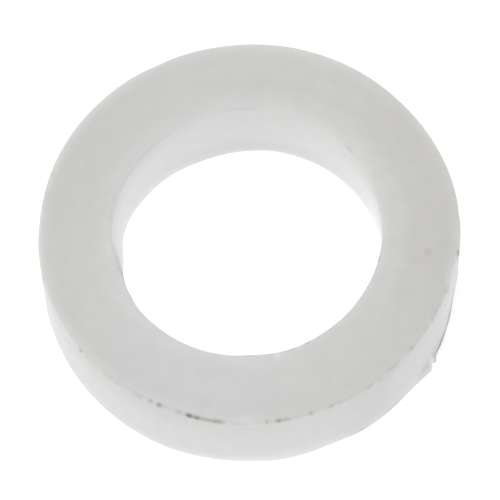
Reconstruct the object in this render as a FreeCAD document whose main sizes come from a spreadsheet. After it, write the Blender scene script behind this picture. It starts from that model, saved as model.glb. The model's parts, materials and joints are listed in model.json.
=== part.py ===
import FreeCAD, Part
import math
import os

import Sketcher
from FreeCAD import Vector

# Thick flat washer for an M8 fastener, moulded in one piece in natural nylon.
# Millimetres, +Z up. The origin is on the bore's axis, in the plane of the bottom face.

NODE = "washer_ring"

# alias, value, what it is
DIMENSIONS = (
    ("outer_diameter", 13.0, "outside diameter, at the top rim, mm"),
    ("bore_diameter", 8.4, "bore, a clearance hole for an M8 shank, mm"),
    ("thickness", 2.9, "height between the two flat faces, mm"),
    ("outer_draft", 0.5, "draft of the outer wall, narrower at the bottom, degrees"),
    ("top_rim_radius", 0.10, "rounding of the outer rim at the top face, mm"),
    ("bottom_rim_radius", 0.12, "rounding of the outer rim at the bottom face, mm"),
    ("bore_mouth_radius", 0.18, "rounding of the bore's two mouths, mm"),
    ("gate_angle", -36.0, "place of the gate vestige round the rim, from +X, degrees"),
    ("gate_width", 0.70, "width of the gate vestige along the wall, mm"),
    ("gate_proud", 0.10, "how far the vestige stands out of the top rim's circle, mm"),
    ("gate_root", 0.45, "how far the vestige's pad starts inside the top rim's circle, mm"),
    ("gate_foot", 0.10, "height of the vestige's lower side above the bottom face, mm"),
    ("gate_height", 0.36, "height of the vestige, mm"),
    ("gate_rounding", 0.05, "rounding of the vestige's outer corners, mm"),
)

CONTACT = 1e-4  # two lengths closer than this are the same, mm
SIZE_SLACK = 0.01  # how far the finished box may differ from the driving sizes, mm
LEAST_SHARE = 0.99  # the rounded edges take less than one part in a hundred off the ring

# How a sketch numbers its own axes and the points of a line.
X_AXIS = -1
ORIGIN_POINT = 1
START, END = 1, 2


def fill_sheet(doc):
    """The sheet of driving dimensions: a name, a plain number and a note in each row."""
    sheet = doc.addObject("Spreadsheet::Sheet", "Dimensions")
    for row, (alias, value, note) in enumerate(DIMENSIONS, start=1):
        sheet.set(f"A{row}", alias)
        sheet.set(f"B{row}", str(value))
        sheet.set(f"C{row}", note)
        sheet.setAlias(f"B{row}", alias)
    doc.recompute()
    return sheet


def origin_plane(body, role):
    """One of the body's own origin planes, by its role."""
    return next(f for f in body.Origin.OriginFeatures if f.Role == role)


def new_sketch(body, name, role):
    """An empty sketch lying on one of the body's origin planes."""
    sketch = body.newObject("Sketcher::SketchObject", name)
    sketch.AttachmentSupport = [(origin_plane(body, role), "")]
    sketch.MapMode = "FlatFace"
    return sketch


def draw_loop(sketch, corners):
    """Straight lines through the corners and back to the first, joined end to end.

    The corners only start the sketch off: its dimensions then set their real places."""
    points = [Vector(x, y, 0) for x, y in corners]
    for start, end in zip(points, points[1:] + points[:1]):
        sketch.addGeometry(Part.LineSegment(start, end), False)
    count = len(points)
    for line in range(count):
        joint = Sketcher.Constraint("Coincident", line, END, (line + 1) % count, START)
        sketch.addConstraint(joint)


def level(sketch, *lines):
    """Makes those lines of the sketch horizontal."""
    for line in lines:
        sketch.addConstraint(Sketcher.Constraint("Horizontal", line))


def drive(sketch, name, constraint, formula):
    """Adds a named dimension to the sketch and binds it to a formula of the sheet's cells."""
    index = sketch.addConstraint(constraint)
    sketch.renameConstraint(index, name)
    sketch.setExpression(f"Constraints.{name}", formula)


def drive_across(sketch, name, line, point, guess, formula):
    """Dimension of a line's end point along the sketch's X, from the sketch's origin."""
    place = Sketcher.Constraint("DistanceX", X_AXIS, ORIGIN_POINT, line, point, guess)
    drive(sketch, name, place, formula)


def foot_radius(sheet):
    """Radius of the drafted outer wall where it meets the bottom face's plane, sharp."""
    draft = math.radians(sheet.outer_draft)
    return sheet.outer_diameter / 2 - sheet.thickness * math.tan(draft)


def draw_section(body):
    """Half section of the ring in the XZ plane: bottom face, drafted outer wall, top face, bore wall."""
    sketch = new_sketch(body, "RingSection", "XZ_Plane")
    draw_loop(sketch, [(4, 0), (6, 0), (6.5, 3), (4, 3)])
    bottom, outer, top, bore = range(4)
    level(sketch, bottom, top)
    sketch.addConstraint(Sketcher.Constraint("Vertical", bore))
    sketch.addConstraint(Sketcher.Constraint("PointOnObject", bottom, START, X_AXIS))
    top_radius = "Dimensions.outer_diameter / 2"
    draft_run = "Dimensions.thickness * tan(Dimensions.outer_draft * 1 deg)"
    drive_across(sketch, "bore_radius", bottom, START, 4.0, "Dimensions.bore_diameter / 2")
    drive_across(sketch, "top_radius", outer, END, 6.5, top_radius)
    drive_across(sketch, "foot_radius", outer, START, 6.4, f"{top_radius} - {draft_run}")
    height = Sketcher.Constraint("DistanceY", X_AXIS, ORIGIN_POINT, top, START, 3.0)
    drive(sketch, "section_height", height, "Dimensions.thickness")
    return sketch


def revolve_ring(body, section):
    """The plain ring: the section turned once about the bore's axis."""
    ring = body.newObject("PartDesign::Revolution", "Ring")
    ring.Profile = section
    ring.ReferenceAxis = (section, ["V_Axis"])
    ring.Angle = 360
    section.Visibility = False
    return ring


def rim_edges(feature, radius, height):
    """Names of the feature's circular edges of that radius, centred on the axis, at that height."""
    names = []
    for number, edge in enumerate(feature.Shape.Edges, start=1):
        curve = edge.Curve
        if not isinstance(curve, Part.Circle):
            continue
        if abs(curve.Radius - radius) < CONTACT and abs(curve.Center.z - height) < CONTACT:
            names.append(f"Edge{number}")
    return names


def round_edges(body, base, name, edges, radius_cell):
    """A fillet on those edges of the base feature, its radius bound to the sheet."""
    if not edges:
        raise RuntimeError(f"{name}: no edge to round")
    fillet = body.newObject("PartDesign::Fillet", name)
    fillet.Base = (base, edges)
    fillet.setExpression("Radius", f"Dimensions.{radius_cell}")
    return fillet


def round_rims(body, ring, sheet):
    """Rounds the outer rim at the top, the outer rim at the bottom, and both mouths of the bore."""
    doc = body.Document
    bore_radius = sheet.bore_diameter / 2

    doc.recompute()
    edges = rim_edges(ring, sheet.outer_diameter / 2, sheet.thickness)
    top = round_edges(body, ring, "TopRim", edges, "top_rim_radius")

    doc.recompute()
    edges = rim_edges(top, foot_radius(sheet), 0)
    bottom = round_edges(body, top, "BottomRim", edges, "bottom_rim_radius")

    doc.recompute()
    edges = rim_edges(bottom, bore_radius, 0) + rim_edges(bottom, bore_radius, sheet.thickness)
    round_edges(body, bottom, "BoreMouths", edges, "bore_mouth_radius")


def draw_gate(body):
    """Plan of the gate vestige: a small rectangle across the rim, in a sketch turned to its angle."""
    sketch = new_sketch(body, "GatePlan", "XY_Plane")
    upright = Vector(0, 0, 1)
    sketch.AttachmentOffset = FreeCAD.Placement(Vector(), FreeCAD.Rotation(upright, 0))
    sketch.setExpression("AttachmentOffset.Rotation.Angle", "Dimensions.gate_angle * 1 deg")
    sketch.setExpression("AttachmentOffset.Base.z", "Dimensions.gate_foot")
    draw_loop(sketch, [(6, -0.3), (6.6, -0.3), (6.6, 0.3), (6, 0.3)])
    lower, front, upper, back = range(4)
    level(sketch, lower, upper)
    sketch.addConstraint(Sketcher.Constraint("Vertical", back))
    sketch.addConstraint(Sketcher.Constraint("Symmetric", front, START, front, END, X_AXIS))
    rim = "Dimensions.outer_diameter / 2"
    drive_across(sketch, "root", lower, START, 6.0, f"{rim} - Dimensions.gate_root")
    drive_across(sketch, "tip", lower, END, 6.6, f"{rim} + Dimensions.gate_proud")
    width = Sketcher.Constraint("DistanceY", front, START, front, END, 0.6)
    drive(sketch, "width", width, "Dimensions.gate_width")
    return sketch


def tip_edges(feature, sheet):
    """Names of the edges round the vestige's outer face."""
    angle = math.radians(sheet.gate_angle)
    outward = Vector(math.cos(angle), math.sin(angle), 0)
    reach = sheet.outer_diameter / 2 + sheet.gate_proud
    names = []
    for number, edge in enumerate(feature.Shape.Edges, start=1):
        if all(abs(v.Point.dot(outward) - reach) < CONTACT for v in edge.Vertexes):
            names.append(f"Edge{number}")
    return names


def add_gate(body, sheet):
    """The trimmed gate left on the foot of the outer wall, a low pad with rounded corners."""
    plan = draw_gate(body)
    pad = body.newObject("PartDesign::Pad", "GateVestige")
    pad.Profile = plan
    pad.setExpression("Length", "Dimensions.gate_height")
    plan.Visibility = False
    body.Document.recompute()
    return round_edges(body, pad, "GateRounding", tip_edges(pad, sheet), "gate_rounding")


def make_washer(doc, sheet):
    """The whole washer: one body, one moulded piece."""
    body = doc.addObject("PartDesign::Body", "WasherRing")
    body.Label = NODE
    ring = revolve_ring(body, draw_section(body))
    round_rims(body, ring, sheet)
    body.Tip = add_gate(body, sheet)
    body.Placement = FreeCAD.Placement(Vector(), FreeCAD.Rotation())
    doc.recompute()
    return body


def ring_volume(sheet):
    """Volume of the ring with sharp edges and no vestige: a cone's frustum less the bore's cylinder."""
    top = sheet.outer_diameter / 2
    foot = foot_radius(sheet)
    frustum = math.pi * sheet.thickness * (top**2 + top * foot + foot**2) / 3
    return frustum - math.pi * (sheet.bore_diameter / 2) ** 2 * sheet.thickness


def check_document(doc):
    """Stops on any object that failed to recompute."""
    for item in doc.Objects:
        failed = {"Invalid", "Error"} & set(item.State)
        if failed:
            raise RuntimeError(f"{item.Name} is {sorted(failed)}")


def check_washer(body, sheet):
    """Stops unless the washer is one valid solid of about the volume and exactly the size it should be."""
    shape = body.Shape
    if shape.isNull() or not shape.isValid() or len(shape.Solids) != 1:
        raise RuntimeError(f"{body.Label} is not one valid solid")
    share = shape.Volume / ring_volume(sheet)
    if not LEAST_SHARE < share < 1.0:
        raise RuntimeError(f"{body.Label} has {share:.4f} of the sharp ring's volume")
    box = shape.optimalBoundingBox(False, False)
    wanted = (sheet.outer_diameter, sheet.outer_diameter, sheet.thickness)
    for length, target in zip((box.XLength, box.YLength, box.ZLength), wanted):
        if abs(length - target) > SIZE_SLACK:
            raise RuntimeError(f"{body.Label} measures {length:.3f} mm, not {target} mm")
    print(f"{body.Label}: {shape.Volume:.3f} mm3, {share:.4f} of the sharp ring, box {box}")


def main():
    doc = FreeCAD.newDocument("FlatWasher")
    sheet = fill_sheet(doc)
    body = make_washer(doc, sheet)
    check_document(doc)
    check_washer(body, sheet)
    os.makedirs("parts", exist_ok=True)
    body.Shape.exportStep(f"parts/{body.Label}.step")


main()
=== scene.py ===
import json
import math

import bpy
import numpy as np
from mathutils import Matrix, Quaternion, Vector


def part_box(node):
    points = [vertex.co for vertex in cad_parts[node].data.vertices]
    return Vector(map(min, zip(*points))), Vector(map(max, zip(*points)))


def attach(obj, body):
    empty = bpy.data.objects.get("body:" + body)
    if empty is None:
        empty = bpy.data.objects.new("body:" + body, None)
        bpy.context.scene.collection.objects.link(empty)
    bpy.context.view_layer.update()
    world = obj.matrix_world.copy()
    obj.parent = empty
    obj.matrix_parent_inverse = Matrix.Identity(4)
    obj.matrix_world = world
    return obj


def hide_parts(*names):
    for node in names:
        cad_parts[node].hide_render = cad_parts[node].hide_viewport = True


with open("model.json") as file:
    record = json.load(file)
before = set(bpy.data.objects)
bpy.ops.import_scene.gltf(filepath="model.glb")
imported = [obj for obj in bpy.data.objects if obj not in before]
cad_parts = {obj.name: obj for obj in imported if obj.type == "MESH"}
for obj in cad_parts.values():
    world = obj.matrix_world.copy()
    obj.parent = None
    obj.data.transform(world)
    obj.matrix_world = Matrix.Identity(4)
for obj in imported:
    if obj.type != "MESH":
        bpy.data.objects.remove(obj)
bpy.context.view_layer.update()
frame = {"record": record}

# A thick flat washer for an M8 fastener, moulded in natural nylon, lying on a white floor.
# Metres, +Z up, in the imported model's frame: the bore's axis is +Z and the bottom face is at z = 0.
# Azimuths are in degrees from +X, towards +Y. The camera stands on the -Y side.

MM = 0.001
NODE = "washer_ring"
SLOT = "natural_nylon"
SEED = 8

LOW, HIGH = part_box(NODE)
CENTRE = (LOW + HIGH) / 2
THICKNESS = HIGH.z - LOW.z
TOP_RADIUS = (HIGH.x - LOW.x) / 2
BORE_RADIUS = next(m for m in frame["record"]["mounts"] if m["name"] == "bore")["dims"]["r_mm"] * MM
DRAFT = math.radians(0.5)  # the outer wall is narrower at the bottom
FOOT_RADIUS = TOP_RADIUS - THICKNESS * math.tan(DRAFT)

# How finely the ring is divided: steps round it, and points along each stretch of its section.
AROUND = 1080
ARC_POINTS = 8
GATE_POINTS = 8
WALL_POINTS = 12
BORE_POINTS = 14
FACE_POINTS = 18
UNDERSIDE_POINTS = 6

# Roundings of the four edges: radius, how uneven it is, fewest and most waves of it round the ring.
ROUNDINGS = {
    "rim": (0.04 * MM, 0.12, 5, 24),
    "foot_rim": (0.05 * MM, 0.10, 4, 20),
    "mouth": (0.06 * MM, 0.10, 3, 20),
    "foot_mouth": (0.05 * MM, 0.10, 3, 20),
}

# The places where wear has widened the two upper roundings: azimuth, spread in degrees, extra mm.
WORN_RIM = ((38, 9, 0.08), (90, 8, 0.04), (109, 7, 0.10), (163, 8, 0.11))
WORN_MOUTH = ((138, 30, 0.20), (187, 6, 0.30))

# How far the walls are out of round: azimuth, spread, change of radius at the top and at the foot, mm.
OUTER_WAVES = (
    (3, 16, 0.070, 0.0),
    (169, 10, -0.03, -0.02),
    (185, 4.0, 0.0, 0.035),
    (240, 14, -0.045, 0.03),
    (265, 35, 0.0, 0.012),
    (273, 6, 0.0, 0.035),
    (287, 5, 0.0, -0.03),
    (302, 7, 0.03, 0.035),
    (318, 2.2, 0.0, 0.028),
    (338, 4, 0.045, 0.0),
    (345, 11, -0.02, -0.08),
    (341.5, 2.5, -0.035, 0.0),
    (347.3, 4.2, 0.088, -0.01),
    (354, 4.5, 0.052, 0.02),
)
BORE_WAVES = (
    (20, 30, -0.06, -0.045),
    (60, 25, 0.0, -0.018),
    (100, 18, 0.0, -0.075),
    (147, 9, 0.0, 0.03),
    (170, 9, 0.0, -0.20),
    (176, 5, 0.03, 0.0),
    (188, 10, -0.20, -0.08),
    (204, 5.0, -0.035, 0.0),
    (267, 8, -0.04, 0.0),
    (318, 28, -0.045, 0.0),
)

# The gate vestige, where the moulding broke off its runner: a low swelling on the foot of the outer
# wall, then a notch, then a sharp tip. Each has its azimuth, spread in degrees, and how far it stands out.
GATE_SWELLING = (322.6, 3.0, 0.148 * MM)
GATE_NOTCH = (324.0, 0.55, -0.115 * MM)
GATE_TIP = (325.4, 0.75, 0.03 * MM)
GATE_HEIGHTS = (0.24 * MM, 0.60 * MM)  # where it starts to fade into the wall, and where it has gone

FACE_SINK = 0.02 * MM  # how far the flat faces have sunk half way across
FACE_SKIN = 0.02 * MM  # how close to a flat face a point sinks with it

# The fine unevenness of the whole surface: its height, wavelength and number of waves.
WAVINESS = 0.002 * MM
WAVE_LENGTH = 1.2 * MM
WAVE_COUNT = 40

# Dark marks along an edge: azimuth, half length in degrees, strength.
RIM_DARK_DASHES = (
    (3, 14, 0.13),
    (212, 0.7, 0.34),
    (214.4, 0.6, 0.20),
    (222, 0.6, 0.24),
    (226, 1.4, 0.20),
    (234, 0.9, 0.30),
    (236.9, 0.9, 0.46),
    (239.6, 0.9, 0.70),
    (245.5, 1.6, 0.34),
    (248.5, 1.1, 1.00),
    (250.7, 1.3, 0.82),
    (253, 4.8, 0.48),
    (256.2, 2.2, 0.62),
    (264, 0.7, 0.16),
    (270, 0.6, 0.44),
    (273.2, 1.0, 0.74),
    (275.0, 2.0, 0.40),
    (282.1, 0.8, 0.44),
    (288, 1.2, 0.38),
    (300, 1.0, 0.30),
    (316, 0.9, 0.36),
    (326.5, 1.2, 0.24),
    (331, 0.8, 0.26),
    (335.5, 1.3, 0.24),
    (347.3, 0.8, 0.70),
)
MOUTH_DIRT = (
    (193, 1.6, 0.40),
    (196, 4.0, 0.16),
    (264, 4.0, 0.20),
    (284, 1.5, 0.30),
    (290.5, 1.5, 0.80),
    (302, 8.0, 0.16),
    (322, 14, 0.20),
    (341, 1.6, 0.60),
)
FAR_MOUTH_DIRT = ((87, 6.5, 0.13), (81, 1.0, 0.10), (35.5, 1.8, 0.22))
BORE_FOOT_DIRT = (
    (57, 12, 0.05),
    (69, 2.0, 0.20),
    (83, 3.0, 0.16),
    (97, 2.5, 0.08),
    (107, 5.0, 0.20),
    (168, 3.0, 0.15),
)
# Painted contact shadow along the foot of the outer wall, darkest towards the right.
FOOT_CONTACT_SHADE = ((225, 30, 0.09), (272, 25, 0.10), (296, 3.0, 0.34), (308, 5.0, 0.20), (318, 4.5, 0.26))

# Where each edge's dirt and painted shade lie: the wall, how far outside it, the height, their spread, its
# marks.
DIRTY_AND_SHADED_EDGES = (
    ("bore_top", 0.0, THICKNESS - 0.02 * MM, 0.05 * MM, MOUTH_DIRT),
    ("bore_top", 0.05 * MM, THICKNESS, 0.03 * MM, FAR_MOUTH_DIRT),
    ("bore_foot", 0.0, 0.05 * MM, 0.06 * MM, BORE_FOOT_DIRT),
    ("foot", 0.0, 0.02 * MM, 0.14 * MM, FOOT_CONTACT_SHADE),
)

# The rim's dark dashes and line lie just inside the top of the outer wall, and further in at one place
# (azimuth, spread in degrees, how much further).
RIM_DARK_INSET = 0.005 * MM
RIM_DARK_FURTHER_IN = ((235, 24, 0.035 * MM),)
RIM_DARK_HEIGHT = THICKNESS - 0.015 * MM
RIM_DARK_SPREAD = 0.07 * MM

# A broken dark line along the near half of the top rim, with one fainter place (azimuth, spread in
# degrees, share of the line that is missing).
RIM_LINE = 0.17
RIM_LINE_MIDDLE = 275
RIM_LINE_FADE = (54, 64)  # degrees from its middle at which it starts to fade, and ends
RIM_LINE_BREAKS = (0.35, 15, 90)  # how broken it is, fewest and most waves round the ring
RIM_LINE_SHARES = (0.8, 0.1, 2.0)  # its usual, least and most share of its strength
RIM_GAP = ((265, 3.0, 0.8),)

# Painted contact shadow at the foot of the right side: azimuth, spread in degrees, height, spread in mm,
# strength.
SIDE_CONTACT_SHADE = (
    (325.5, 0.7, 0.0, 0.35, 0.8),
    (330.5, 4.0, 0.0, 0.35, 1.0),
    (340, 5.0, 0.0, 0.50, 0.80),
    (348, 4.0, 0.0, 0.60, 0.65),
    (353, 3.0, 0.0, 0.45, 0.35),
    (360, 5.0, 0.0, 0.20, 0.25),
)
SIDE_SHADE_RAGGED = (0.15, 12, 60)  # how ragged its upper edge is, fewest and most waves round the ring
SIDE_SHADE_SQUEEZE = (0.6, 1.6)  # the least and most that this stretches or squeezes it in height
WALL_SHADE_TOP = (THICKNESS - 0.15 * MM, THICKNESS - 0.03 * MM)  # where the wall's painted shade ends, under the rim

# A line of painted shade up the outer wall at its right-hand edge: azimuth, spread in degrees, strength.
RIGHT_EDGE_SHADE_LINE = ((353, 1.2, 0.22),)

# Soft patches of painted light and shade: azimuth, spread in degrees, place, spread in mm, change in
# hundredths.
# The place is the radius on the top face and the depth below the top face on the two walls.
FACE_LIGHT_AND_SHADE_PATCHES = (
    (320, 45, 4.20, 0.50, -5.0),
    (300, 12, 4.50, 0.25, -2.0),
    (0, 20, 4.50, 0.30, -2.5),
    (75, 30, 5.10, 0.50, -2.0),
    (270, 35, 5.35, 0.25, 1.5),
    (277, 1.6, 4.30, 0.11, 20.0),
    (333, 6, 6.38, 0.12, -5.0),
    (316, 12, 6.41, 0.08, -2.5),
    (303, 22, 6.43, 0.14, -2.5),
    (262, 65, 6.46, 0.13, -4.0),
    (177, 5, 4.24, 0.10, -2.0),
    (264.3, 2.0, 6.37, 0.09, 9.0),
    (181, 4, 4.30, 0.12, 4.0),
    (138, 12, 4.60, 0.15, 2.8),
    (32, 14, 5.8, 0.8, -1.5),
    (140, 28, 5.6, 0.8, -1.2),
)
OUTER_LIGHT_AND_SHADE_PATCHES = (
    (270, 17, 2.9, 0.55, 8.0),
    (245, 45, 1.8, 0.7, 1.5),
    (192, 9, 1.6, 1.0, 5.0),
    # The rows at azimuth 324 paint a highlight on the gate's notch, and the rows beside them paint shade
    # round it.
    (324, 1.1, 2.9, 0.45, 22.0),
    (235, 32, 1.5, 9.0, -3.0),
    (297, 9, 2.0, 1.2, -3.0),
    (340, 10, 1.2, 0.8, 3.5),
    (350, 5, 0.9, 0.8, 9.0),
    (185, 6, 0.8, 0.7, 7.0),
    (248.8, 0.9, 0.30, 0.12, 6.0),
    (325.4, 1.0, 2.45, 0.20, -7.0),
    (319.5, 1.8, 2.6, 0.35, -5.0),
    (331, 6, 2.7, 0.45, -5.0),
    (324, 0.8, 2.70, 0.30, 12.0),
)
BORE_LIGHT_AND_SHADE_PATCHES = (
    (145, 35, 0.12, 0.20, 7.0),
    (88, 62, 2.6, 0.9, -8.0),
    (155, 14, 0.4, 0.8, 3.0),
    (178, 7, 0.12, 0.18, 7.0),
    (178, 4.5, 0.35, 0.45, 6.5),
    (184, 3, 0.12, 0.15, 5.0),
    (186, 4, 0.10, 0.15, 3.5),
    (62, 16, 0.05, 0.13, -4.0),
    (8, 9, 1.8, 1.6, 12.0),
)

# Painted light and shade on the top face in hundredths: near the rim, near the bore, and over the outer part.
# The sides are (azimuth, spread in degrees, change), and the zones are the radii between which each comes or
# goes.
FACE_RIM_PAINTED_SHADE = -4.0
FACE_RIM_ZONE = (5.5 * MM, 6.3 * MM)
FACE_MOUTH_PAINTED_LIGHT = 2.0
FACE_MOUTH_SIDES = ((145, 40, -4.0),)
FACE_MOUTH_ZONE = (4.5 * MM, 5.3 * MM)
FACE_SIDES = ((-5, 45, -5.0), (155, 35, -2.0), (250, 30, 2.0))
FACE_SIDES_ZONE = (4.7 * MM, 5.2 * MM)

# Painted light and shade on the two walls in hundredths: both against the top face, the outer wall all the
# way down, and the outer wall under its top rim. The sides are (azimuth, spread in degrees, change) here too.
WALL_PAINTED_SHADE = -0.8
OUTER_SIDES = ((303, 10, -3.0),)
OUTER_RIM_PAINTED_SHADE = -9.0
OUTER_RIM_SIDES = ((272, 15, 3.0), (188, 12, 8.0))
OUTER_RIM_DEPTH = 0.75 * MM

# Painted light on the bore wall's top: where it grows paler (from and to azimuth, change in hundredths),
# where it is paler still (azimuth, spread in degrees, change), where it ends and how deep it reaches.
PALE_TOP_STEPS = ((20, 40, 4.0), (65, 125, 12.0))
PALE_TOP_SIDES = ((148, 16, 3.0),)
PALE_TOP_END = (168, 195)
PALE_TOP_DEPTH = 2.2 * MM

# Painted light and shade that grows down the bore wall: azimuth, spread in degrees, from and to depth in mm,
# change.
BORE_DEEPENING = ((80, 48, 1.8, 2.8, -7.0), (20, 12, 0.3, 1.2, 6.0))

# How far the plastic has yellowed: the top face as a whole and by its sides (azimuth, spread, change),
# the share of that beside the bore and the radii where it grows to all of it, then the walls' tops and
# the depths between which that fades.
FACE_WARMTH = 0.45
WARM_SIDES = ((10, 50, 0.50), (165, 35, 0.30), (245, 38, -0.42))
WARMTH_BY_BORE = 0.65
WARMTH_ZONE = (4.6 * MM, 5.8 * MM)
WALL_WARMTH = 0.34
WALL_WARMTH_DEPTHS = (0.3 * MM, 1.4 * MM)

BORE_ZONE = (BORE_RADIUS + 0.2 * MM, BORE_RADIUS + 0.5 * MM)  # radii over which the bore's look ends
FACE_FADE = 0.10 * MM  # depth over which the top face's look fades out over its edges
OUTER_FADE = 0.05 * MM  # depth over which the outer wall's look comes in
BORE_FADE = 0.06 * MM  # depth over which the bore wall's look comes in

# Marks on the top face: azimuth, radius and size in mm, strength.
FACE_MARKS = (
    (346.5, 5.64, 0.18, 1.0),
    (343.6, 5.46, 0.20, 0.30),
    (343.0, 5.24, 0.20, 0.30),
    (127, 4.62, 0.10, 0.35),
    (80, 5.07, 0.09, 0.30),
    (86, 5.09, 0.08, 0.25),
)
MARK_RAGGED = 0.8  # how ragged their edges are, as a share of their size
MARK_EDGE = (0.6, 1.4)  # where their edges start and end, as shares of their size

WARM_NYLON = (0.857, 0.849, 0.819, 1)
COOL_NYLON = (0.845, 0.845, 0.845, 1)
# The colour of the dirt, and of the painted shade at the outer foot and up the right side.
DIRT_AND_SHADE = (0.16, 0.165, 0.14, 1)
RUST = (0.782, 0.748, 0.724, 1)

# Noises in the plastic: features a metre, the part of the noise that is used, and what it is turned into.
CLOUDS = (1300, (0.35, 0.65), (0.6, 1.4))
BLOTCHES = (2600, (0.3, 0.7), (0.985, 1.015))
SATIN = (2500, (0.3, 0.7), (0.42, 0.56))
FINE_NOISE = 9000
GRAIN_STRENGTH = 0.25
GRAIN_HEIGHT = 0.004 * MM
GLOSS = 0.35
LIGHT_REACH = 0.45 * MM  # how far light spreads inside the plastic

FLOOR_WHITE = (0.62, 0.62, 0.62, 1)
FLOOR_GLOW = 0.66
FLOOR_HALF = 1.2  # half its width, in metres
FLOOR_GAP = 0.002 * MM  # how far it is below the washer

# Brightness of the light tent by height, which is the sine of the elevation. Under the horizon it is
# the floor's.
SKY = ((0.0, 1.15), (0.01, 0.0), (0.40, 0.10), (0.60, 1.10), (1.0, 0.66))
SKY_FULL = 1.5

# The camera looks down on the washer from the -Y side, through a long lens, turned a little on its axis.
ELEVATION = math.radians(64.8)
ROLL = math.radians(5.95)
DISTANCE = 0.2968
LENS = 688.0
AIM_RIGHT = 0.016 * MM
AIM_UP = 0.060 * MM


# ---- the ring's shape ----

def bump(distance, spread):
    """A smooth hump, 1 at no distance and fading over the spread."""
    return np.exp(-((distance / spread) ** 2))


def smooth(value, low, high):
    """0 below the low end, 1 above the high end, and smooth between."""
    t = np.clip((value - low) / (high - low), 0, 1)
    return t * t * (3 - 2 * t)


def turn_from(azimuths, place):
    """Signed angle in degrees from a place on the ring to each azimuth, the short way round."""
    return (azimuths - place + 180) % 360 - 180


def humps(azimuths, places, column=2):
    """The sum of the humps in a list of (azimuth, spread, heights), taking each height from that column."""
    return sum(row[column] * bump(turn_from(azimuths, row[0]), row[1]) for row in places)


def patches(azimuths, places, rows):
    """The sum of soft patches, each (azimuth, spread in degrees, place, spread in mm, change)."""
    total = np.zeros_like(azimuths)
    for azimuth, wide, place, deep, change in rows:
        total += change * bump(turn_from(azimuths, azimuth), wide) * bump(places - place * MM, deep * MM)
    return total


def wander(azimuths, lowest, highest, rng):
    """A random curve that closes on itself round the ring, made of whole waves, about 1 high."""
    angles = np.radians(azimuths)
    total = np.zeros_like(angles)
    for waves in range(lowest, highest + 1):
        total += rng.normal() * np.cos(waves * angles + rng.uniform(0, math.tau))
    return total / math.sqrt(highest - lowest + 1)


def ripple(points, wavelength, count, rng):
    """Smooth random relief over points in space, about 1 high, from waves in every direction."""
    total = np.zeros(points.shape[:-1])
    for _ in range(count):
        direction = rng.normal(size=3)
        direction /= np.linalg.norm(direction)
        length = wavelength * rng.uniform(0.7, 1.5)
        total += np.cos(points @ direction * (math.tau / length) + rng.uniform(0, math.tau))
    return total / math.sqrt(count / 2)


def between(start, end, share):
    """Points at these shares of the way between two ends. Each end is (radii, heights) round the ring."""
    return tuple(a[:, None] * (1 - share) + b[:, None] * share for a, b in zip(start, end))


def stretch(start, end, count):
    """Points between two ends, closer together near them."""
    return between(start, end, (1 - np.cos(np.linspace(0, math.pi, count + 2)[1:-1])) / 2)


def even_stretch(start, end, count):
    """Evenly spaced points from the start of a stretch up to its end."""
    return between(start, end, np.arange(1, count + 1) / count)


def quarter(centre, radius, first):
    """Points on a quarter circle, counter-clockwise from the first angle in degrees."""
    angles = np.radians(np.linspace(first, first + 90, ARC_POINTS))
    middle_r, middle_z = centre
    across = middle_r[:, None] + radius[:, None] * np.cos(angles)
    up = middle_z[:, None] + radius[:, None] * np.sin(angles)
    return across, up


def ring_sizes(azimuths, rng):
    """Radii of the ring's walls at the top and at the foot, and of its four roundings, at each azimuth."""
    size = {
        "top": TOP_RADIUS + humps(azimuths, OUTER_WAVES, 2) * MM,
        "foot": FOOT_RADIUS + humps(azimuths, OUTER_WAVES, 3) * MM,
        "bore_top": BORE_RADIUS + humps(azimuths, BORE_WAVES, 2) * MM,
        "bore_foot": BORE_RADIUS + humps(azimuths, BORE_WAVES, 3) * MM,
    }
    for edge, (radius, uneven, fewest, most) in ROUNDINGS.items():
        size[edge] = radius * (1 + uneven * wander(azimuths, fewest, most, rng))
    size["rim"] += humps(azimuths, WORN_RIM) * MM
    size["mouth"] += humps(azimuths, WORN_MOUTH) * MM
    return size


def section(size):
    """Radii and heights of the closed section at each azimuth, from the foot of the outer wall, up
    and over the top face, down the bore and back along the bottom face."""
    top = np.full_like(size["top"], THICKNESS)
    floor = np.zeros_like(top)
    foot_in, top_in = size["foot"] - size["foot_rim"], size["top"] - size["rim"]
    mouth_out, foot_out = size["bore_top"] + size["mouth"], size["bore_foot"] + size["foot_mouth"]
    outer_low = (size["foot"], size["foot_rim"])
    outer_high = (size["top"], top - size["rim"])
    gate_end = GATE_HEIGHTS[1]
    gate_share = gate_end / THICKNESS
    outer_gate = (size["foot"] * (1 - gate_share) + size["top"] * gate_share, floor + gate_end)
    bore_high = (size["bore_top"], top - size["mouth"])
    bore_low = (size["bore_foot"], size["foot_mouth"])
    stretches = [
        quarter((foot_in, size["foot_rim"]), size["foot_rim"], -90),
        even_stretch(outer_low, outer_gate, GATE_POINTS),
        stretch(outer_gate, outer_high, WALL_POINTS),
        quarter((top_in, outer_high[1]), size["rim"], 0),
        stretch((top_in, top), (mouth_out, top), FACE_POINTS),
        quarter((mouth_out, bore_high[1]), size["mouth"], 90),
        stretch(bore_high, bore_low, BORE_POINTS),
        quarter((foot_out, size["foot_mouth"]), size["foot_mouth"], 180),
        stretch((foot_out, floor), (foot_in, floor), UNDERSIDE_POINTS),
    ]
    return tuple(np.concatenate(part, axis=1) for part in zip(*stretches))


def on_outer_wall(radii, start, full):
    """1 on the outer wall and 0 further in. It starts and is full this many mm inside the top radius."""
    return smooth(radii, TOP_RADIUS - start * MM, TOP_RADIUS - full * MM)


def gate_scar(azimuths, radii, heights):
    """How far the torn gate stands out of the outer wall."""
    proud = humps(azimuths, (GATE_SWELLING, GATE_NOTCH, GATE_TIP))
    low_down = 1 - smooth(heights, *GATE_HEIGHTS)
    return proud * low_down * on_outer_wall(radii, start=0.4, full=0.15)


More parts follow.
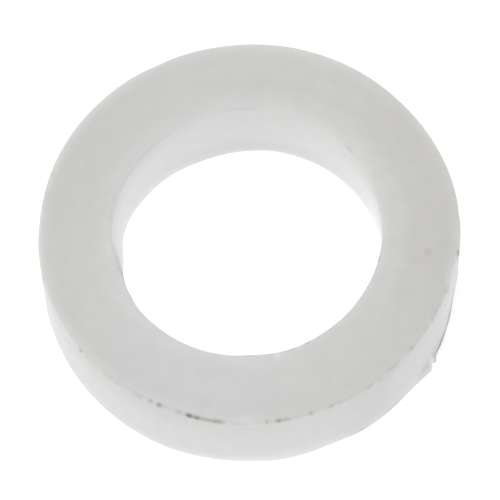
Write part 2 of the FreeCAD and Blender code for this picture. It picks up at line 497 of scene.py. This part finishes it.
def face_sink(radii, heights):
    """How far the two flat faces have sunk, most half way between the bore and the rim."""
    across = (radii - BORE_RADIUS) / (TOP_RADIUS - BORE_RADIUS)
    dish = FACE_SINK * np.clip(4 * across * (1 - across), 0, 1) ** 2
    on_top = smooth(heights, THICKNESS - FACE_SKIN, THICKNESS)
    on_bottom = 1 - smooth(heights, 0, FACE_SKIN)
    return dish * (on_bottom - on_top)


# ---- the ring's dirt, painted light and shade, and warmth ----

def edge_dirt_and_shade(azimuths, from_edge, marks, wide):
    """How dark each point is made along one edge, 0 to 1, from its distance to that edge: by dirt at most
    edges, by painted shade at the outer foot.
    """
    strength = np.zeros_like(azimuths)
    for place, half_length, full in marks:
        strength = np.maximum(strength, full * bump(turn_from(azimuths, place), half_length))
    return strength * bump(from_edge, wide)


def rim_line(azimuths, from_rim, rng):
    """The broken dark line along the near half of the top rim."""
    near = 1 - smooth(np.abs(turn_from(azimuths, RIM_LINE_MIDDLE)), *RIM_LINE_FADE)
    whole = 1 - humps(azimuths, RIM_GAP)
    broken, fewest, most = RIM_LINE_BREAKS
    usual, least, greatest = RIM_LINE_SHARES
    share = np.clip(usual + broken * wander(azimuths, fewest, most, rng), least, greatest)
    return RIM_LINE * near * whole * share * bump(from_rim, RIM_DARK_SPREAD)


def wall_painted_shade(azimuths, radii, heights, rng):
    """Painted shade on the outer wall: a dark line up its right-hand edge, and a ragged dark band of painted
    contact shadow at the foot of the right side.
    """
    on_wall = on_outer_wall(radii, start=0.3, full=0.2)
    below_rim = 1 - smooth(heights, *WALL_SHADE_TOP)
    uneven, fewest, most = SIDE_SHADE_RAGGED
    ragged = np.clip(1 + uneven * wander(azimuths, fewest, most, rng), *SIDE_SHADE_SQUEEZE)
    band = patches(azimuths, heights * ragged, SIDE_CONTACT_SHADE).clip(0, 1)
    return np.maximum(humps(azimuths, RIGHT_EDGE_SHADE_LINE), band) * on_wall * below_rim


def all_dirt_and_shade(azimuths, radii, heights, size, rng):
    """How dark each point is made, 0 to 1: by dirt, by dark marks along the rim, and by painted shade at the
    outer foot and up the right side.
    """
    def away(wall, outside, height):
        """Distance to the circle that is this far outside a wall, at this height."""
        return np.hypot(radii - size[wall][:, None] - outside, heights - height)

    inset = RIM_DARK_INSET + humps(azimuths, RIM_DARK_FURTHER_IN)
    from_rim = away("top", -inset, RIM_DARK_HEIGHT)
    dirt_and_shade = [
        edge_dirt_and_shade(azimuths, from_rim, RIM_DARK_DASHES, RIM_DARK_SPREAD),
        rim_line(azimuths, from_rim, rng),
        wall_painted_shade(azimuths, radii, heights, rng),
    ]
    for wall, outside, height, wide, marks in DIRTY_AND_SHADED_EDGES:
        dirt_and_shade.append(edge_dirt_and_shade(azimuths, away(wall, outside, height), marks, wide))
    return np.maximum.reduce(dirt_and_shade)


def face_painted_light_and_shade(azimuths, radii):
    """Painted light and shade on the top face, in hundredths of its brightness."""
    rim = FACE_RIM_PAINTED_SHADE * smooth(radii, *FACE_RIM_ZONE)
    mouth = (FACE_MOUTH_PAINTED_LIGHT + humps(azimuths, FACE_MOUTH_SIDES)) * (1 - smooth(radii, *FACE_MOUTH_ZONE))
    sides = humps(azimuths, FACE_SIDES) * smooth(radii, *FACE_SIDES_ZONE)
    return rim + mouth + sides + patches(azimuths, radii, FACE_LIGHT_AND_SHADE_PATCHES)


def outer_painted_light_and_shade(azimuths, depth):
    """Painted light and shade on the outer wall, in hundredths: painted shade under the top rim, painted
    light at the foot.
    """
    rim = (OUTER_RIM_PAINTED_SHADE + humps(azimuths, OUTER_RIM_SIDES)) * bump(depth, OUTER_RIM_DEPTH)
    return rim + humps(azimuths, OUTER_SIDES) + patches(azimuths, depth, OUTER_LIGHT_AND_SHADE_PATCHES)


def bore_top_painted_light(azimuths, depth):
    """Painted light on the upper part of the bore wall, mostly on its far and left sides, in hundredths."""
    pale = humps(azimuths, PALE_TOP_SIDES)
    for start, end, change in PALE_TOP_STEPS:
        pale += change * smooth(azimuths, start, end)
    return pale * (1 - smooth(azimuths, *PALE_TOP_END)) * (1 - depth / PALE_TOP_DEPTH).clip(0, 1)


def bore_painted_light_and_shade(azimuths, depth):
    """Painted light and shade on the bore wall, in hundredths: painted light at the top, painted shade at the
    foot.
    """
    total = bore_top_painted_light(azimuths, depth) + patches(azimuths, depth, BORE_LIGHT_AND_SHADE_PATCHES)
    for azimuth, wide, start, end, change in BORE_DEEPENING:
        total += change * bump(turn_from(azimuths, azimuth), wide) * smooth(depth, start * MM, end * MM)
    return total


def painted_light_and_shade(azimuths, radii, heights):
    """Painted light and shade in the plastic's colour at each point, as a factor on its brightness, 1 where
    none is painted.
    """
    depth = THICKNESS - heights
    outer = on_outer_wall(radii, start=0.25, full=0.08) * smooth(depth, 0, OUTER_FADE)
    bore = (1 - smooth(radii, *BORE_ZONE)) * smooth(depth, 0, BORE_FADE)
    face = (1 - smooth(depth, 0, FACE_FADE)) * face_painted_light_and_shade(azimuths, radii)
    inside = bore * (WALL_PAINTED_SHADE + bore_painted_light_and_shade(azimuths, depth))
    outside = outer * (WALL_PAINTED_SHADE + outer_painted_light_and_shade(azimuths, depth))
    return 1 + (face + inside + outside) / 100


def warmth(azimuths, radii, heights):
    """How far the plastic has yellowed, 0 to 1: most on the left and right of the top face."""
    depth = THICKNESS - heights
    outward = WARMTH_BY_BORE + (1 - WARMTH_BY_BORE) * smooth(radii, *WARMTH_ZONE)
    on_face = (FACE_WARMTH + humps(azimuths, WARM_SIDES)) * outward
    on_walls = WALL_WARMTH * (1 - smooth(depth, *WALL_WARMTH_DEPTHS))
    face = 1 - smooth(depth, 0, FACE_FADE)
    return face * on_face + (1 - face) * on_walls


# ---- the ring's mesh ----

def ring_points():
    """Every point of the ring as (x, y, z), in rows round the ring, and the numbers kept on the points."""
    rng = np.random.default_rng(SEED)
    turns = np.arange(AROUND) * (360 / AROUND)
    size = ring_sizes(turns, rng)
    radii, heights = section(size)
    azimuths = np.repeat(turns[:, None], radii.shape[1], axis=1)
    dirt_and_shade = all_dirt_and_shade(azimuths, radii, heights, size, rng)
    kept = {"dirt_and_shade": dirt_and_shade, "painted_light_and_shade": painted_light_and_shade(azimuths, radii, heights), "warmth": warmth(azimuths, radii, heights)}
    radii = radii + gate_scar(azimuths, radii, heights)
    heights = heights + face_sink(radii, heights)
    angles = np.radians(azimuths)
    points = np.stack([radii * np.cos(angles), radii * np.sin(angles), heights], axis=-1)
    outward = np.stack([np.cos(angles), np.sin(angles), np.zeros_like(angles)], axis=-1)
    relief = WAVINESS * ripple(points, WAVE_LENGTH, WAVE_COUNT, rng)
    return points + outward * relief[..., None], kept


def ring_faces(around, along):
    """Four corners of each face of a closed ring of closed sections."""
    row, column = np.meshgrid(np.arange(around), np.arange(along), indexing="ij")
    next_row, next_column = (row + 1) % around, (column + 1) % along
    corners = [
        row * along + column,
        next_row * along + column,
        next_row * along + next_column,
        row * along + next_column,
    ]
    return np.stack(corners, axis=-1).reshape(-1, 4)


def keep_on_points(mesh, name, values):
    """A number for each point of the mesh, which the material reads by name."""
    layer = mesh.attributes.new(name, "FLOAT", "POINT")
    layer.data.foreach_set("value", values.ravel().astype(np.float32))


def make_ring():
    """The washer's mesh, smooth, with its dirt and painted shade, its painted light and shade, and its warmth
    kept on its points.
    """
    points, kept = ring_points()
    around, along = points.shape[:2]
    mesh = bpy.data.meshes.new("moulded_ring")
    mesh.from_pydata(points.reshape(-1, 3).tolist(), [], ring_faces(around, along).tolist())
    mesh.polygons.foreach_set("use_smooth", [True] * len(mesh.polygons))
    for name, values in kept.items():
        keep_on_points(mesh, name, values)
    mesh.update()
    ring = bpy.data.objects.new("moulded_ring", mesh)
    bpy.context.scene.collection.objects.link(ring)
    return ring


# ---- materials ----

def new_material(name):
    """A material with an empty node tree and its output."""
    material = bpy.data.materials.new(name)
    material.use_nodes = True
    tree = material.node_tree
    tree.nodes.clear()
    return material, tree, tree.nodes.new("ShaderNodeOutputMaterial")


def add(tree, kind, **settings):
    """A new node with these properties set."""
    node = tree.nodes.new(kind)
    for name, value in settings.items():
        setattr(node, name, value)
    return node


def plug(tree, socket, value):
    """Links a value to a socket if it comes from another node, and else sets it there."""
    if isinstance(value, bpy.types.NodeSocket):
        tree.links.new(value, socket)
    else:
        socket.default_value = value


def feed(tree, node, **inputs):
    """Fills a node's inputs by name, with _ for a space."""
    for name, value in inputs.items():
        plug(tree, node.inputs[name.replace("_", " ")], value)
    return node


def noise(tree, place, scale, detail=3.0):
    """A noise of that many features a metre, from 0 to 1."""
    node = add(tree, "ShaderNodeTexNoise")
    feed(tree, node, Vector=place, Scale=scale, Detail=detail, Roughness=0.5)
    return node.outputs["Fac"]


def point_value(tree, name):
    """The number that the mesh keeps on its points under that name."""
    return add(tree, "ShaderNodeAttribute", attribute_name=name).outputs["Fac"]


def rescale(tree, value, source, target):
    """A value taken from one range to another, and held within it."""
    node = add(tree, "ShaderNodeMapRange")
    feed(tree, node, Value=value, From_Min=source[0], From_Max=source[1])
    feed(tree, node, To_Min=target[0], To_Max=target[1])
    return node.outputs["Result"]


def uneven_value(tree, place, scale, source, target):
    """A number that a noise makes uneven, within the target range."""
    return rescale(tree, noise(tree, place, scale), source, target)


def blend_colour(tree, share, first, second):
    """The first colour where the share is 0, the second where it is 1."""
    node = add(tree, "ShaderNodeMix", data_type="RGBA")
    for number, value in ((0, share), (6, first), (7, second)):  # where a colour mix has its inputs
        plug(tree, node.inputs[number], value)
    return node.outputs[2]


def times(tree, first, second):
    """The product of two numbers."""
    node = add(tree, "ShaderNodeMath", operation="MULTIPLY")
    plug(tree, node.inputs[0], first)
    plug(tree, node.inputs[1], second)
    return node.outputs[0]


def ragged_mark(tree, place, azimuth, radius, size):
    """1 in the middle of a small mark on the top face and 0 away from it. Radius and size in mm."""
    angle = math.radians(azimuth)
    middle = (radius * MM * math.cos(angle), radius * MM * math.sin(angle), THICKNESS)
    distance = add(tree, "ShaderNodeVectorMath", operation="DISTANCE")
    plug(tree, distance.inputs[0], place)
    plug(tree, distance.inputs[1], middle)
    edge = add(tree, "ShaderNodeMath", operation="MULTIPLY_ADD")
    plug(tree, edge.inputs[0], noise(tree, place, FINE_NOISE))
    plug(tree, edge.inputs[1], MARK_RAGGED * size * MM)
    plug(tree, edge.inputs[2], distance.outputs["Value"])
    return rescale(tree, edge.outputs[0], [share * size * MM for share in MARK_EDGE], (1, 0))


def nylon_colour(tree, place):
    """The plastic's colour: a little yellowed in clouds, with its marks, its painted light and shade, and its
    dirt and painted shade.
    """
    yellowed = times(tree, point_value(tree, "warmth"), uneven_value(tree, place, *CLOUDS))
    colour = blend_colour(tree, yellowed, COOL_NYLON, WARM_NYLON)
    for azimuth, radius, size, strength in FACE_MARKS:
        mark = ragged_mark(tree, place, azimuth, radius, size)
        colour = blend_colour(tree, times(tree, mark, strength), colour, RUST)
    # Painted light and shade, kept on the points, sets how bright the colour is, with a little random
    # unevenness.
    brightness = times(tree, uneven_value(tree, place, *BLOTCHES), point_value(tree, "painted_light_and_shade"))
    clean = feed(tree, add(tree, "ShaderNodeVectorMath", operation="SCALE"), Vector=colour, Scale=brightness)
    # Dirt and painted shade both darken the colour towards this same dark.
    return blend_colour(tree, point_value(tree, "dirt_and_shade"), clean.outputs[0], DIRT_AND_SHADE)


def nylon_material():
    """Natural nylon: milky, with light coming through it, a satin skin, a little dirt, and light and shade
    painted into its colour.
    """
    material, tree, output = new_material(SLOT)
    place = add(tree, "ShaderNodeTexCoord").outputs["Object"]
    grain = noise(tree, place, FINE_NOISE, detail=2.0)
    relief = feed(tree, add(tree, "ShaderNodeBump"), Height=grain, Strength=GRAIN_STRENGTH)
    feed(tree, relief, Distance=GRAIN_HEIGHT)
    shader = add(tree, "ShaderNodeBsdfPrincipled")
    feed(tree, shader, Base_Color=nylon_colour(tree, place), Roughness=uneven_value(tree, place, *SATIN))
    feed(tree, shader, Normal=relief.outputs["Normal"], Specular_IOR_Level=GLOSS)
    feed(tree, shader, Subsurface_Weight=1.0, Subsurface_Radius=(1.0, 1.0, 1.0), Subsurface_Scale=LIGHT_REACH)
    tree.links.new(shader.outputs["BSDF"], output.inputs["Surface"])
    return material


def floor_material():
    """White acrylic, lit a little from below."""
    material, tree, output = new_material("white_floor")
    shader = add(tree, "ShaderNodeBsdfPrincipled")
    feed(tree, shader, Base_Color=FLOOR_WHITE, Roughness=0.9, Emission_Color=(1, 1, 1, 1))
    feed(tree, shader, Emission_Strength=FLOOR_GLOW, Specular_IOR_Level=0.0)
    tree.links.new(shader.outputs["BSDF"], output.inputs["Surface"])
    return material


# ---- the studio ----

def make_floor():
    """A plain floor just under the washer."""
    mesh = bpy.data.meshes.new("studio_floor")
    height = LOW.z - FLOOR_GAP
    corners = [(x * FLOOR_HALF, y * FLOOR_HALF, height) for x, y in ((-1, -1), (1, -1), (1, 1), (-1, 1))]
    mesh.from_pydata(corners, [], [(0, 1, 2, 3)])
    floor = bpy.data.objects.new("studio_floor", mesh)
    bpy.context.scene.collection.objects.link(floor)
    mesh.materials.append(floor_material())


def grey_ramp(tree, value, stops, full):
    """Grey that follows stops of (value, grey), its greys divided by the full one."""
    node = add(tree, "ShaderNodeValToRGB")
    elements = node.color_ramp.elements
    while len(elements) < len(stops):
        elements.new(1.0)
    for element, (place, grey) in zip(elements, stops):
        element.position = place
        element.color = (grey / full, grey / full, grey / full, 1)
    tree.links.new(value, node.inputs["Fac"])
    return node.outputs["Color"]


def make_sky():
    """A white light tent, dark low down and bright overhead."""
    world = bpy.data.worlds.new("light_tent")
    world.use_nodes = True
    tree = world.node_tree
    tree.nodes.clear()
    direction = add(tree, "ShaderNodeTexCoord").outputs["Generated"]
    parts = feed(tree, add(tree, "ShaderNodeSeparateXYZ"), Vector=direction)
    grey = grey_ramp(tree, parts.outputs["Z"], SKY, SKY_FULL)
    glow = feed(tree, add(tree, "ShaderNodeBackground"), Color=grey, Strength=SKY_FULL)
    output = add(tree, "ShaderNodeOutputWorld")
    tree.links.new(glow.outputs["Background"], output.inputs["Surface"])
    bpy.context.scene.world = world


def make_softbox(name, azimuth, elevation, distance, size, power):
    """A square soft light that faces the washer."""
    light = bpy.data.lights.new(name, "AREA")
    light.shape = "SQUARE"
    light.size = size
    light.energy = power
    lamp = bpy.data.objects.new(name, light)
    bpy.context.scene.collection.objects.link(lamp)
    turn, rise = math.radians(azimuth), math.radians(elevation)
    away = Vector((math.cos(turn) * math.cos(rise), math.sin(turn) * math.cos(rise), math.sin(rise)))
    lamp.location = CENTRE + away * distance
    lamp.rotation_mode = "QUATERNION"
    lamp.rotation_quaternion = (-away).to_track_quat("-Z", "Y")


def make_camera():
    """The camera, set to see the washer as large and as turned as it should be."""
    data = bpy.data.cameras.new("camera")
    data.lens = LENS
    data.clip_start = 0.01
    data.clip_end = 10
    camera = bpy.data.objects.new("camera", data)
    bpy.context.scene.collection.objects.link(camera)
    back = Vector((0, -math.cos(ELEVATION), math.sin(ELEVATION)))
    turn = (-back).to_track_quat("-Z", "Y") @ Quaternion((0, 0, 1), -ROLL)
    aim = CENTRE + turn @ Vector((AIM_RIGHT, AIM_UP, 0))
    camera.location = aim + back * DISTANCE
    camera.rotation_mode = "QUATERNION"
    camera.rotation_quaternion = turn
    bpy.context.scene.camera = camera


ring = make_ring()
ring.data.materials.append(nylon_material())
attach(ring, "root")
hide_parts(NODE)

make_floor()
make_sky()
make_softbox("left_softbox", azimuth=190, elevation=28, distance=0.5, size=0.35, power=0.25)
make_camera()
bpy.context.scene.view_settings.view_transform = "Standard"
